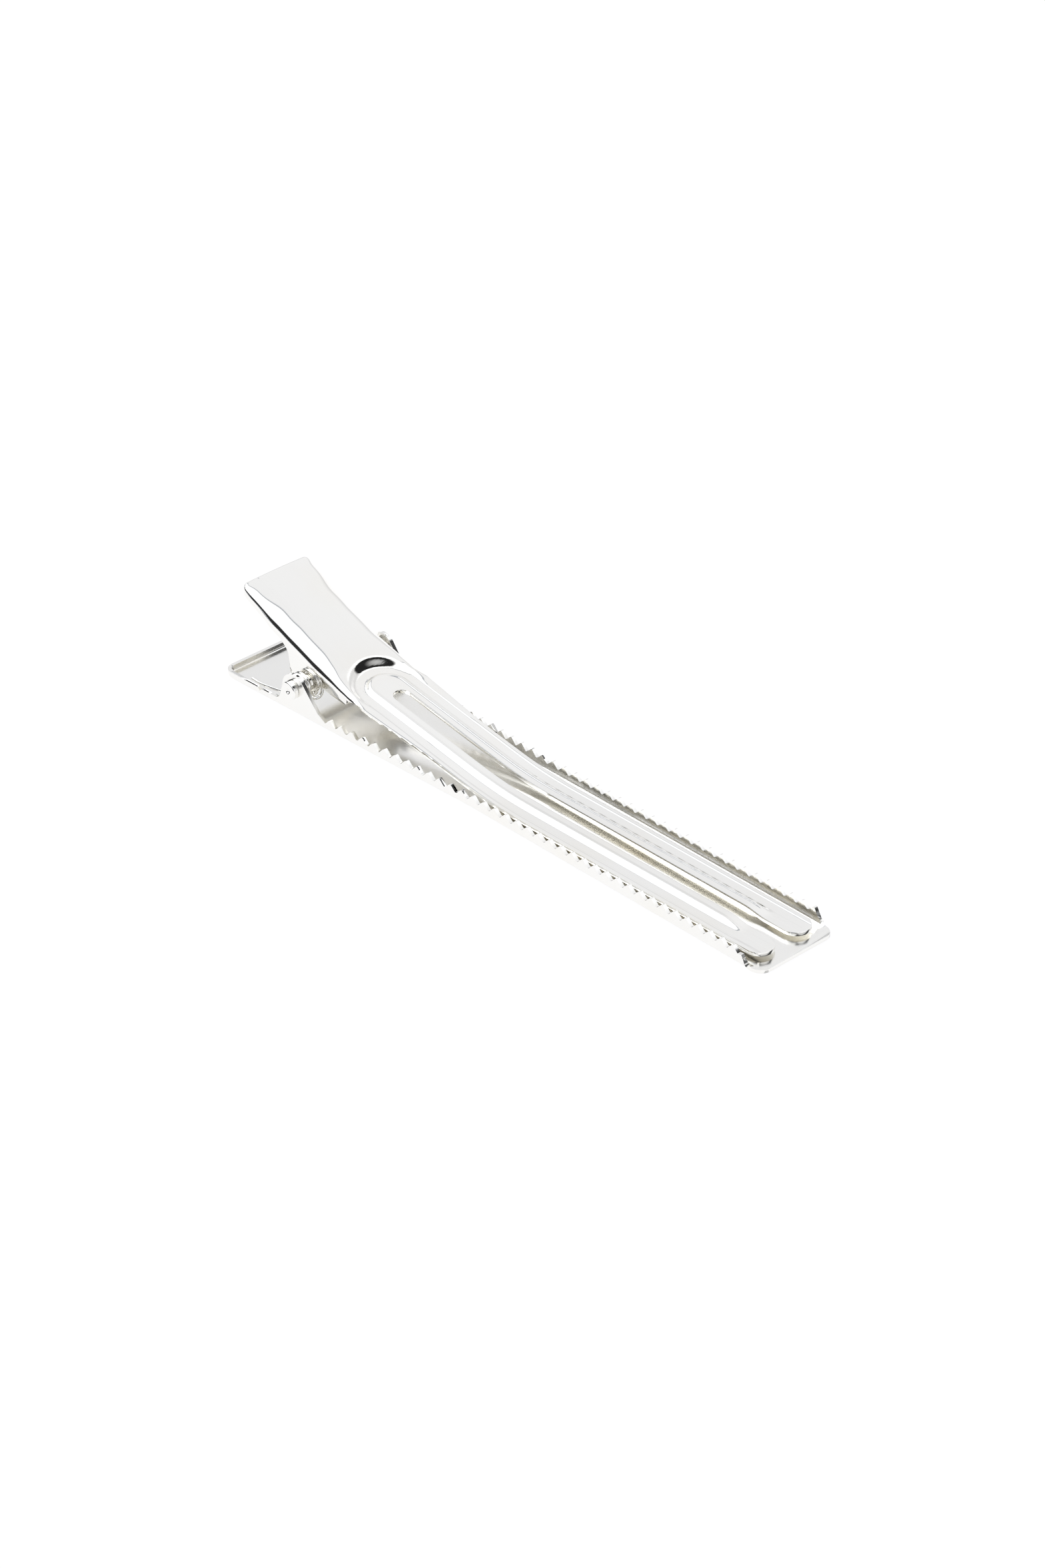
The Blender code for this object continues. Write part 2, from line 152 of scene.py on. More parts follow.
def finish_mesh(bm, name):
    mesh = bpy.data.meshes.new(name)
    bm.to_mesh(mesh)
    bm.free()
    obj = bpy.data.objects.new(name, mesh)
    bpy.context.scene.collection.objects.link(obj)
    mesh.shade_smooth()
    return obj


def as_sheet(obj, offset):
    """Give an open surface the sheet's thickness and a fine rounded edge."""
    thick = obj.modifiers.new("sheet", "SOLIDIFY")
    thick.thickness = SHEET * MM
    thick.offset = offset
    thick.use_even_offset = True
    edge = obj.modifiers.new("rounded_edge", "BEVEL")
    edge.width = EDGE_ROUND * MM
    edge.segments = 3
    edge.limit_method = "ANGLE"
    edge.angle_limit = SHARP_ANGLE
    return obj


def drill(obj, radius, half_length):
    """A round hole along the hinge's axis, through both ears."""
    bm = bmesh.new()
    bmesh.ops.create_cone(bm, cap_ends=True, segments=64, radius1=radius * MM, radius2=radius * MM,
                          depth=2.0 * half_length * MM)
    turn = Matrix.Translation(PIVOT * MM) @ Matrix.Rotation(math.radians(90.0), 4, "X")
    bm.transform(turn)
    tool = finish_mesh(bm, obj.name + "_drill")
    tool.hide_render = True
    tool.hide_viewport = True
    hole = obj.modifiers.new("pin_hole", "BOOLEAN")
    hole.operation = "DIFFERENCE"
    hole.object = tool
    return tool


def bake_mesh(obj):
    """Replace the mesh by what its modifiers make of it."""
    bpy.context.view_layer.update()
    graph = bpy.context.evaluated_depsgraph_get()
    mesh = bpy.data.meshes.new_from_object(obj.evaluated_get(graph), preserve_all_data_layers=True,
                                           depsgraph=graph)
    obj.modifiers.clear()
    obj.data = mesh


def apply_modifiers(obj):
    """Finish the sheet, then shade it so that flat faces stay flat beside their rounded edges."""
    bake_mesh(obj)
    obj.data.set_sharp_from_angle(angle=SHARP_ANGLE)
    weigh = obj.modifiers.new("flat_faces_first", "WEIGHTED_NORMAL")
    weigh.keep_sharp = True
    weigh.weight = 80
    bake_mesh(obj)


# %% [markdown]
# ## The upper jaw
# One blank of sheet makes all of it.  At the back it is a thumb plate whose long edges roll over into
# skirts, and the skirts drop into two ears for the rivet.  In front of the plate a round-ended pan is
# pressed down, and a bead is pressed up round the slot that divides the two prongs.  The
# whole jaw is one height over its plan, so a grid is laid over the plan and lifted to that height.
# Rows are closest where the pan and bead turn, and columns are closest at the bead's shoulders.

# %% Upper jaw: side view and plan
UPPER_REAR = -12.5
THUMB_HALF_WIDTH = 5.75
PRONG_HALF_WIDTH = 5.15
REAR_CORNER = 1.0
REAR_TURN = 0.6
REAR_DROP = 0.4
THUMB_SLOPE = 0.378
ARCH_SLOPE = 0.156
PRONG_RISE = 0.005
SLOT_CENTRE = 12.4
SLOT_HALF_WIDTH = 1.22
PAN_CENTRE = 10.0
PAN_DEPTH = 0.1
BEAD_HEIGHT = 0.5
BEAD_FOOT = 3.15
CROWN_HEIGHT = 0.1
TIP_CENTRE = 79.9
TIP_BLEND = 76.0
SKIRT_FRONT = 8.0


def edge_height(x):
    """Top of the sheet along the jaw's outer edge: two straight slopes and a flat, with soft bends."""
    z = 12.6 - THUMB_SLOPE * (x + 12.1)
    z += (THUMB_SLOPE - ARCH_SLOPE) * knee(x, 6.6, 3.0)
    z += (ARCH_SLOPE + PRONG_RISE) * knee(x, 33.8, 14.0)
    return z


def rear_drop(x):
    """The thumb plate's back edge is turned down a little."""
    into_edge = max(UPPER_REAR + REAR_TURN - x, 0.0) / REAR_TURN
    return REAR_DROP * (1.0 - math.sqrt(max(1.0 - into_edge ** 2, 0.0)))


def upper_half_width(x):
    width = THUMB_HALF_WIDTH + (PRONG_HALF_WIDTH - THUMB_HALF_WIDTH) * smooth_step(9.0, 24.0, x)
    into_corner = max(UPPER_REAR + REAR_CORNER - x, 0.0) / REAR_CORNER
    return width - REAR_CORNER * (1.0 - math.sqrt(max(1.0 - into_corner ** 2, 0.0)))


def roll_width(x):
    """The rolled edge is tight at the thumb plate's back, fullest over the hinge and flat on the prongs."""
    wavy = 0.1 * noise.noise(Vector((0.5 * x, 3.1, 0.0))) * (1.0 - smooth_step(5.0, 8.0, x))
    full = 0.5 + 0.75 * smooth_step(UPPER_REAR, -10.5, x) + 0.95 * smooth_step(-10.5, -6.0, x)
    full -= 1.3 * smooth_step(1.0, 8.0, x) + 0.5 * smooth_step(8.0, 11.0, x)
    return full + wavy * smooth_step(-12.5, -10.5, x)


def roll_angle(x):
    """How far the edge is turned down, in radians."""
    return math.radians(90.0 - 86.0 * smooth_step(SKIRT_FRONT, 11.5, x))


def top_height(x, y):
    """Top of the sheet inside the rolled edge: pan, step round it and bead round the slot."""
    beside = abs(y)
    distance = math.hypot(x - PAN_CENTRE, beside) if x < PAN_CENTRE else beside
    ahead = smooth_step(7.0, 13.0, x)
    foot = 4.42 - 0.06 * ahead
    top = 5.25 - 0.73 * ahead
    lift = 0.7 - 0.74 * smooth_step(4.0, 12.5, x)
    step = ramp(distance, foot, 0.12, top, 0.5 - 0.4 * ahead)
    fade = 1.0 - smooth_step(73.0, 76.8, x)
    bead = ramp(BEAD_FOOT - distance, 0.06, 0.12, 0.5, 0.8)
    bead -= 0.12 * bead * (1.0 - ramp(distance, 2.1, 0.15, 2.5, 0.15))
    crown = CROWN_HEIGHT * (1.0 - (beside / 5.5) ** 2) * (1.0 - smooth_step(0.0, 7.0, x))
    z = edge_height(x) - PAN_DEPTH + (PAN_DEPTH + lift) * step + BEAD_HEIGHT * fade * bead + crown
    return z - rear_drop(x)


# %% Upper jaw: lower edge of the skirts and ears
EAR_RADIUS = 2.05
skirt_line = [(UPPER_REAR, PIVOT.z + 8.33), (-5.1, PIVOT.z + 4.7)]
skirt_line += [(-4.3, PIVOT.z + 4.2), (-3.65, PIVOT.z + 3.65), (-3.3, PIVOT.z + 3.1), (-3.18, PIVOT.z + 2.5)]
skirt_line += [(-3.0, PIVOT.z + 0.6), (-2.5, PIVOT.z - 0.35)]
skirt_line += [(x, z + PIVOT.z) for x, z in arc((0.0, 0.0), EAR_RADIUS, 205.0, 330.0, 16)]
skirt_line += [(2.3, PIVOT.z + 0.05), (2.9, PIVOT.z + 0.62), (SKIRT_FRONT - 0.5, PIVOT.z + 0.12)]
skirt_line += [(SKIRT_FRONT - 0.15, PIVOT.z + 0.2), (SKIRT_FRONT, PIVOT.z + 0.42)]


# %% Upper jaw: rows and columns of the grid
rear_rows = [UPPER_REAR + REAR_CORNER * (1.0 - math.sin(math.radians(15.0 * i))) for i in range(6, -1, -1)]
upper_rows = rear_rows + spaced(-11.0, 3.6, 0.5) + spaced(3.6, 13.0, 0.2) + spaced(13.0, 30.0, 0.5)
upper_rows += spaced(30.0, TIP_BLEND - 4.0, 1.0) + spaced(TIP_BLEND - 4.0, TIP_BLEND, 0.4)
upper_rows += spaced(TIP_BLEND, TIP_CENTRE, 0.3) + [TIP_CENTRE, SKIRT_FRONT, SLOT_CENTRE]
upper_rows += [x for x, z in skirt_line]
upper_rows = sorted(set(round(x, 3) for x in upper_rows))
upper_rows = [x for i, x in enumerate(upper_rows) if i == 0 or x - upper_rows[i - 1] > 0.02]

SLOT_COLUMNS = 6
flat_columns = [SLOT_HALF_WIDTH * math.sin(math.radians(90.0 * i / SLOT_COLUMNS)) for i in range(SLOT_COLUMNS)]
flat_columns += spaced(SLOT_HALF_WIDTH, 2.0, 0.2) + spaced(2.0, 3.4, 0.14) + spaced(3.4, 4.3, 0.3)
flat_columns += spaced(4.3, 4.6, 0.06) + [4.6, 4.8]
ROLL_COLUMNS = 10
SKIRT_COLUMNS = 3
FLAT_LAST = len(flat_columns)
ROLL_LAST = FLAT_LAST + ROLL_COLUMNS
HALF_COLUMNS = ROLL_LAST + SKIRT_COLUMNS
print(len(upper_rows), "rows and", 2 * HALF_COLUMNS + 1, "columns")


# %% Upper jaw: one point of the sheet
PRONG_MIDDLE = (PRONG_HALF_WIDTH + SLOT_HALF_WIDTH) / 2.0
TIP_RADIUS = (PRONG_HALF_WIDTH - SLOT_HALF_WIDTH) / 2.0


def sheet_point(x, column):
    """Place of one grid point on the right half of the jaw, as (x, y, z) from the hinge's station."""
    width = upper_half_width(x)
    angle = roll_angle(x)
    roll = roll_width(x) / math.sin(angle)
    inner = width - roll_width(x)
    squeeze = min(inner / (flat_columns[-1] + 0.08), 1.0)
    if column < FLAT_LAST:
        y, drop, skirt = flat_columns[column] * squeeze, 0.0, None
    elif column <= ROLL_LAST:
        turned = angle * (column - FLAT_LAST) / ROLL_COLUMNS
        y, drop, skirt = inner + roll * math.sin(turned), roll * (1.0 - math.cos(turned)), None
    else:
        y, drop, skirt = width, roll, (column - ROLL_LAST) / SKIRT_COLUMNS
    # The slot's round end pulls the rows in front of it back onto a half circle.
    if y <= SLOT_HALF_WIDTH + 1e-6 and SLOT_CENTRE - 4.0 < x <= SLOT_CENTRE:
        share = (x - SLOT_CENTRE + 4.0) / 4.0
        x -= share * math.sqrt(max(SLOT_HALF_WIDTH ** 2 - y ** 2, 0.0))
    # The prong's tip pushes its last rows out onto another.
    if x > TIP_BLEND and y >= SLOT_HALF_WIDTH - 1e-6:
        share = smooth_step(TIP_BLEND, TIP_CENTRE, x)
        across = (column - SLOT_COLUMNS) / (ROLL_LAST - SLOT_COLUMNS)
        turn = math.radians(180.0 * across - 90.0)
        y += share * (PRONG_MIDDLE + TIP_RADIUS * math.sin(turn) - y)
        x += share * TIP_RADIUS * math.cos(turn)
        drop *= 1.0 - share
    z = top_height(x, min(y, inner)) - drop
    if skirt is not None:
        z += (min(along(skirt_line, x), z - 0.02) - z) * skirt
    return x, y, z


# %% Upper jaw: lay the grid and cut the outline
def make_upper_jaw():
    bm = bmesh.new()
    rows = len(upper_rows) - 1
    bmesh.ops.create_grid(bm, x_segments=rows, y_segments=2 * HALF_COLUMNS, size=1.0)
    cell = {}
    for vert in bm.verts:
        row = round((vert.co.x + 1.0) / 2.0 * rows)
        column = round((vert.co.y + 1.0) * HALF_COLUMNS) - HALF_COLUMNS
        cell[vert] = (row, column)
    waste = []
    for face in bm.faces:
        first_row = min(cell[v][0] for v in face.verts)
        side = abs(sum(cell[v][1] for v in face.verts)) / 4.0
        station = upper_rows[first_row]
        in_slot = station >= SLOT_CENTRE - 0.001 and side < SLOT_COLUMNS
        past_skirt = station >= SKIRT_FRONT - 0.001 and side > ROLL_LAST
        if in_slot or past_skirt:
            waste.append(face)
    for vert, (row, column) in cell.items():
        x, y, z = sheet_point(upper_rows[row], abs(column))
        vert.co = place(x, math.copysign(y, column), z)
    bmesh.ops.delete(bm, geom=waste, context="FACES")
    bmesh.ops.recalc_face_normals(bm, faces=bm.faces)
    bm.faces.ensure_lookup_table()
    up = sum(f.normal.z * f.calc_area() for f in bm.faces)
    if up < 0.0:
        bmesh.ops.reverse_faces(bm, faces=bm.faces)
    return as_sheet(finish_mesh(bm, "upper_jaw_sheet"), -1.0)


upper_jaw = make_upper_jaw()
upper_drill = drill(upper_jaw, HOLE_RADIUS, THUMB_HALF_WIDTH + 0.85)
apply_modifiers(upper_jaw)
bpy.data.objects.remove(upper_drill)
print("upper jaw:", len(upper_jaw.data.polygons), "faces")


# %% [markdown]
# ## The lower jaw
# A channel: flat floor, small bends, and side walls that narrow from the finger tray to the tip.  The
# walls carry 37 teeth each, half a pitch apart from side to side, so that they mesh through hair.  It is
# made as the press makes it, from the floor outwards: the floor's outline is extruded round the bend and
# up the wall, and the last ring follows the line of rim, ear and teeth.

# %% Lower jaw: plan
TRAY_HALF_WIDTH = 8.5
WALL_HALF_WIDTH = 6.75
TAPER_END = 32.0
FLOOR_BEND = 0.8
TRAY_CORNER = 1.6
LIP_HALF_WIDTH = 6.5
LIP_CORNER = 1.7
WALL_END = 80.4
FLARE_END = FRONT - LIP_CORNER
BEND_RADIUS = FLOOR_BEND - SHEET / 2.0
MIDDLE = SHEET / 2.0


def lower_half_width(x):
    share = (TAPER_END - min(x, TAPER_END)) / (TAPER_END - REAR)
    return WALL_HALF_WIDTH + (TRAY_HALF_WIDTH - WALL_HALF_WIDTH) * share


# %% Lower jaw: rim, ear and teeth
TRAY_RIM_Z = 1.25
TOOTH_PITCH = 2.0
TOOTH_DEPTH = 0.78
TOOTH_FLAT = 0.26
FIRST_CREST = 6.9
TOOTH_COUNT = 37


def crest_height(x):
    return 1.95 + 0.5 * (x - FIRST_CREST) / (WALL_END - FIRST_CREST)


def rim_line(shift):
    """Top edge of one wall from the tray to the tip; shift moves its teeth along."""
    line = [(REAR, TRAY_RIM_Z), (-6.95, TRAY_RIM_Z), (-6.75, TRAY_RIM_Z - 0.08), (-6.35, TRAY_RIM_Z - 0.38)]
    line += [(-6.0, TRAY_RIM_Z - 0.1), (-5.6, TRAY_RIM_Z), (-4.2, TRAY_RIM_Z)]
    line += arc((-3.4, TRAY_RIM_Z + 1.0), 1.0, 280.0, 345.0, 8)
    line += arc((0.25, 3.85), 2.15, 170.0, 38.0, 26)
    line += [(4.6, crest_height(4.6) + 0.1)]
    for i in range(TOOTH_COUNT):
        crest = FIRST_CREST + shift + TOOTH_PITCH * i
        flank = (TOOTH_PITCH - 2.0 * TOOTH_FLAT) / 2.0
        top = crest_height(crest)
        valley = top - TOOTH_DEPTH
        before = crest - TOOTH_FLAT / 2.0 - flank
        if i > 0 or before > 5.2:
            line += [(before, valley)]
        line += [(crest - TOOTH_FLAT / 2.0, top - 0.03), (crest, top), (crest + TOOTH_FLAT / 2.0, top - 0.03)]
        line += [(crest + TOOTH_FLAT / 2.0 + flank, valley)]
    line = [(x, z) for x, z in line if x < WALL_END]
    line += [(WALL_END, 1.75), (WALL_END + 0.35, 1.2), (FLARE_END, 0.2)]
    return line


# %% Lower jaw: one ring of the channel
def wall_point(x, level, line):
    """A point of the wall's middle surface. Levels 0 to 8 go round the bend, 9 is the top edge."""
    inner = lower_half_width(x) - FLOOR_BEND
    flare = smooth_step(WALL_END + 0.3, FLARE_END, x)
    angle = math.radians(90.0) * (1.0 - flare)
    turned = angle * min(level, 8) / 8.0
    radius = BEND_RADIUS
    y = inner + radius * math.sin(turned)
    z = MIDDLE + radius * (1.0 - math.cos(turned))
    if level > 8:
        reach = (along(line, x) - z) * (1.0 - flare) + (LIP_HALF_WIDTH - inner) * flare
        reach = max(reach, 0.05)
        y += reach * math.cos(angle)
        z += reach * math.sin(angle)
    return x, y, z


def ring_points(level, lines, stations):
    """The ring at one level: near side from the tip to the tray, round the tray, far side to the tip."""
    near = [wall_point(x, level, lines[0]) for x in reversed(stations[0])]
    far = [wall_point(x, level, lines[1]) for x in stations[1]]
    turned = math.radians(90.0 * min(level, 8) / 8.0)
    inset = FLOOR_BEND - BEND_RADIUS * math.sin(turned)
    z = MIDDLE + BEND_RADIUS * (1.0 - math.cos(turned)) if level <= 8 else TRAY_RIM_Z
    corner = TRAY_CORNER - inset
    side = lower_half_width(REAR + TRAY_CORNER) - inset
    centre = (REAR + TRAY_CORNER, side - corner)
    bend = arc(centre, corner, 90.0, 180.0, 10)
    points = [(x, -y, z) for x, y, z in near]
    points += [(x, -y, z) for x, y in bend] + [(x, y, z) for x, y in reversed(bend)]
    return points + far


# %% Lower jaw: extrude the floor's outline
def make_lower_jaw():
    lines = [rim_line(0.0), rim_line(TOOTH_PITCH / 2.0)]
    stations = []
    for line in lines:
        xs = [x for x, z in line if x > REAR + TRAY_CORNER + 0.3]
        xs += spaced(REAR + TRAY_CORNER + 0.4, 4.0, 1.3) + spaced(WALL_END, FLARE_END, 0.2) + [FLARE_END]
        xs = sorted(set(round(x, 3) for x in xs))
        stations.append([x for i, x in enumerate(xs) if i == 0 or x - xs[i - 1] > 0.02])
    bm = bmesh.new()
    ring = [bm.verts.new(place(*p)) for p in ring_points(0, lines, stations)]
    floor = bm.faces.new(ring)
    edges = [bm.edges.get((a, b)) for a, b in zip(ring[:-1], ring[1:])]
    ends = [[ring[0]], [ring[-1]]]
    for level in range(1, 10):
        grown = bmesh.ops.extrude_edge_only(bm, edges=edges)["geom"]
        fresh = {g for g in grown if isinstance(g, bmesh.types.BMVert)}
        ring = [next(e.other_vert(v) for e in v.link_edges if e.other_vert(v) in fresh) for v in ring]
        for vert, point in zip(ring, ring_points(level, lines, stations)):
            vert.co = place(*point)
        edges = [bm.edges.get((a, b)) for a, b in zip(ring[:-1], ring[1:])]
        ends[0].append(ring[0])
        ends[1].append(ring[-1])
    corner = arc((FLARE_END, LIP_HALF_WIDTH - LIP_CORNER), LIP_CORNER, 0.0, 90.0, 10)
    lip = [bm.verts.new(place(x, y, MIDDLE)) for x, y in reversed(corner[:-1])]
    lip += [bm.verts.new(place(x, -y, MIDDLE)) for x, y in corner[:-1]]
    lip_face = bm.faces.new(ends[1] + lip + list(reversed(ends[0])))
    bmesh.ops.recalc_face_normals(bm, faces=bm.faces)
    if floor.normal.z < 0.0:
        bmesh.ops.reverse_faces(bm, faces=bm.faces)
    for face, margin in ((floor, 0.12), (lip_face, 0.12)):
        bmesh.ops.inset_region(bm, faces=[face], thickness=margin * MM, use_even_offset=True)
    return as_sheet(finish_mesh(bm, "lower_jaw_sheet"), 0.0)


lower_jaw = make_lower_jaw()
lower_drill = drill(lower_jaw, HOLE_RADIUS, TRAY_HALF_WIDTH + 1.5)
apply_modifiers(lower_jaw)
bpy.data.objects.remove(lower_drill)
print("lower jaw:", len(lower_jaw.data.polygons), "faces")


# %% [markdown]
# ## The rivet
# A turned pin through all four ears.  Its ends stand a little proud, with a small radius and a centre
# dimple from the riveting punch.  A turned shape is a profile spun about its axis.

# %% Rivet
PIN_HALF_LENGTH = 8.83
PIN_RADIUS = 1.15
HEAD_RADIUS = 1.3


def make_pin():
    end = PIN_HALF_LENGTH
    ear_face = lower_half_width(0.0)
    profile = [(0.0, end - 0.3), (0.16, end - 0.27), (0.3, end - 0.15), (0.4, end - 0.02), (0.47, end)]
    profile += [(HEAD_RADIUS - 0.28, end - 0.01)]
    profile += [(HEAD_RADIUS - 0.25 + 0.25 * math.sin(a), end - 0.25 + 0.24 * math.cos(a))
                for a in [math.radians(15.0 * i) for i in range(1, 7)]]
    profile += [(HEAD_RADIUS, ear_face + 0.12), (PIN_RADIUS + 0.02, ear_face + 0.05), (PIN_RADIUS, ear_face)]
    profile += [(PIN_RADIUS, 0.0)]
    bm = bmesh.new()
    verts = [bm.verts.new((r * MM, 0.0, z * MM)) for r, z in profile]
    edges = [bm.edges.new(pair) for pair in zip(verts[:-1], verts[1:])]
    bmesh.ops.spin(bm, geom=verts + edges, cent=(0, 0, 0), axis=(0, 0, 1), angle=math.tau, steps=64,
                   use_merge=True)
    bmesh.ops.remove_doubles(bm, verts=bm.verts, dist=1e-7)
    bmesh.ops.mirror(bm, geom=bm.verts[:] + bm.edges[:] + bm.faces[:], axis="Z", merge_dist=1e-7)
    bmesh.ops.remove_doubles(bm, verts=bm.verts, dist=1e-7)
    bmesh.ops.recalc_face_normals(bm, faces=bm.faces)
    bm.transform(Matrix.Translation(PIVOT * MM) @ Matrix.Rotation(math.radians(90.0), 4, "X"))
    pin = finish_mesh(bm, "rivet")
    pin.data.set_sharp_from_angle(angle=SHARP_ANGLE)
    return pin


pivot_pin = make_pin()
print("rivet:", len(pivot_pin.data.polygons), "faces")


# %% [markdown]
# ## The spring
# One wire, bent into a coil in each gap between the ears.  Its outer ends lie in the tray, and its middle
# crosses under the thumb plate and pushes it up, which closes the jaws.  The coil's turns come from a
# loop, and the stretches between are a smooth curve through a few points.  A curve with a round bevel
# gives the wire its thickness.

# %% Spring: the wire's route
WIRE_RADIUS = 0.24
COIL_RADIUS = 1.62
COIL_PITCH = 0.5
COIL_TURNS = 2.125
COIL_OUTER_Y = 7.12
STEPS_PER_TURN = 40


def smooth_route(points, parts):
    """A Catmull-Rom curve through the points, as a finer list."""
    ends = [points[0] * 2 - points[1]] + points + [points[-1] * 2 - points[-2]]
    fine = []
    for a, b, c, d in zip(ends[:-3], ends[1:-2], ends[2:-1], ends[3:]):
        for i in range(parts):
            t = i / parts
            fine.append((b * 2 + (c - a) * t + (a * 2 - b * 5 + c * 4 - d) * t ** 2
                         + (b * 3 - a - c * 3 + d) * t ** 3) / 2)
    return fine + [points[-1]]


def spring_half():
    leg_z = SHEET + WIRE_RADIUS + 0.3 - PIVOT.z
    leg = [Vector((-9.0, -COIL_OUTER_Y, leg_z)), Vector((-7.0, -COIL_OUTER_Y, leg_z))]
    leg += [Vector((-3.5, -COIL_OUTER_Y, -COIL_RADIUS - 0.55))]
    leg += [Vector((-1.2, -COIL_OUTER_Y, -COIL_RADIUS - 0.06))]
    coil = []
    for i in range(round(STEPS_PER_TURN * COIL_TURNS) + 1):
        turned = i / STEPS_PER_TURN
        angle = math.radians(-90.0 + 360.0 * turned)
        coil.append(Vector((COIL_RADIUS * math.cos(angle), -COIL_OUTER_Y + COIL_PITCH * turned,
                            COIL_RADIUS * math.sin(angle))))
    crossing = [(-42.0, 2.15, -5.95), (-36.0, 2.45, -5.7), (-30.0, 2.5, -5.2), (-18.0, 2.3, -4.85)]
    crossing += [(0.0, 2.0, -4.7), (25.0, 1.8, -4.65), (50.0, 1.75, -4.6), (75.0, 1.75, -4.6)]
    crossing += [(100.0, 1.8, -4.6)]
    inside = []
    for angle_deg, radius, y in crossing:
        angle = math.radians(angle_deg)
        inside.append(Vector((radius * math.cos(angle), y, radius * math.sin(angle))))
    inside += [Vector(p) for p in ((-3.0, -4.6, 3.3), (-7.6, -4.5, 6.35), (-8.15, -4.3, 6.72))]
    inside += [Vector(p) for p in ((-8.4, -3.8, 6.88), (-8.45, -2.0, 6.92), (-8.45, 0.0, 6.92))]
    return smooth_route(leg + coil[:1], 6)[:-1] + coil[:-1] + smooth_route([coil[-1]] + inside, 6)


# %% Spring: the wire
def make_spring():
    half = spring_half()
    route = half + [Vector((p.x, -p.y, p.z)) for p in reversed(half[:-1])]
    curve = bpy.data.curves.new("spring_wire", "CURVE")
    curve.dimensions = "3D"
    curve.bevel_depth = WIRE_RADIUS * MM
    curve.bevel_resolution = 5
    curve.use_fill_caps = True
    spline = curve.splines.new("POLY")
    spline.points.add(len(route) - 1)
    for point, p in zip(spline.points, route):
        point.co = (*place(p.x, p.y, p.z + PIVOT.z), 1.0)
    holder = bpy.data.objects.new("spring_curve", curve)
    bpy.context.scene.collection.objects.link(holder)
    bpy.context.view_layer.update()
    mesh = bpy.data.meshes.new_from_object(holder.evaluated_get(bpy.context.evaluated_depsgraph_get()))
    bpy.data.objects.remove(holder)
    bm = bmesh.new()
    bm.from_mesh(mesh)
    bmesh.ops.remove_doubles(bm, verts=bm.verts, dist=1e-7)
    bmesh.ops.recalc_face_normals(bm, faces=bm.faces)
    spring = finish_mesh(bm, "spring")
    spring.data.set_sharp_from_angle(angle=SHARP_ANGLE)
    return spring


spring = make_spring()
print("spring:", len(spring.data.polygons), "faces")


# %% [markdown]
# ## Shader arithmetic
# Materials are sums and products of patterns, so a small class wraps a node's socket and lets Python's
# own operators build the Math nodes.  `Graph.node` adds any other node.

# %% Socket arithmetic
class Value:
    """A number that varies over a surface."""

    def __init__(self, graph, socket):
        self.graph = graph
        self.socket = socket

    def _math(self, operation, first, second):
        return self.graph.node("ShaderNodeMath", {"operation": operation}, {0: first, 1: second})

    def __add__(self, other):
        return self._math("ADD", self, other)

    def __sub__(self, other):
        return self._math("SUBTRACT", self, other)

    def __mul__(self, other):
        return self._math("MULTIPLY", self, other)

    def __rsub__(self, other):
        return self._math("SUBTRACT", other, self)

    __radd__ = __add__
    __rmul__ = __mul__

    def size(self):
        return self._math("ABSOLUTE", self, 0.0)

    def within(self, low, high):
        """0 below low and 1 above high, soft between."""
        return self.graph.node("ShaderNodeMapRange", {"interpolation_type": "SMOOTHSTEP"},
                               {"Value": self, "From Min": low, "From Max": high})


class Graph:
    """A material's node tree, or the world's."""

    def __init__(self, tree):
        self.tree = tree
        tree.nodes.clear()

    def node(self, kind, settings=None, inputs=None, output=0):
        made = self.tree.nodes.new(kind)
        for name, setting in (settings or {}).items():
            if name == "stops":
                ramp_elements = made.color_ramp.elements
                while len(ramp_elements) < len(setting):
                    ramp_elements.new(1.0)
                for element, (place_on_ramp, colour) in zip(ramp_elements, setting):
                    element.position = place_on_ramp
                    element.color = (*colour, 1.0)
            else:
                setattr(made, name, setting)
        for name, value in (inputs or {}).items():
            if isinstance(value, Value):
                self.tree.links.new(value.socket, made.inputs[name])
            else:
                made.inputs[name].default_value = value
        return Value(self, made.outputs[output]) if made.outputs else made

    def mix(self, factor, first, second):
        """Two colours by a factor."""
        made = self.tree.nodes.new("ShaderNodeMix")
        made.data_type = "RGBA"
        for name, value in ((0, factor), (6, first), (7, second)):
            if isinstance(value, Value):
                self.tree.links.new(value.socket, made.inputs[name])
            else:
                made.inputs[name].default_value = value if name == 0 else (*value, 1.0)
        return Value(self, made.outputs[2])


# %% [markdown]
# ## Bright plating
# Polished nickel-silver plating is almost a mirror.  What tells it from a computer's perfect mirror is
# small: the sheet is never quite flat, so straight reflections wander; the polish leaves faint lines
# along the clip; and the plating is a little warmer than white, which multiplies every time light bounces
# between the jaws, until it is the colour of straw in the deepest places.

# %% Plating material
PLATING = (0.93, 0.922, 0.898)
PLATING_WARM = (0.915, 0.892, 0.84)


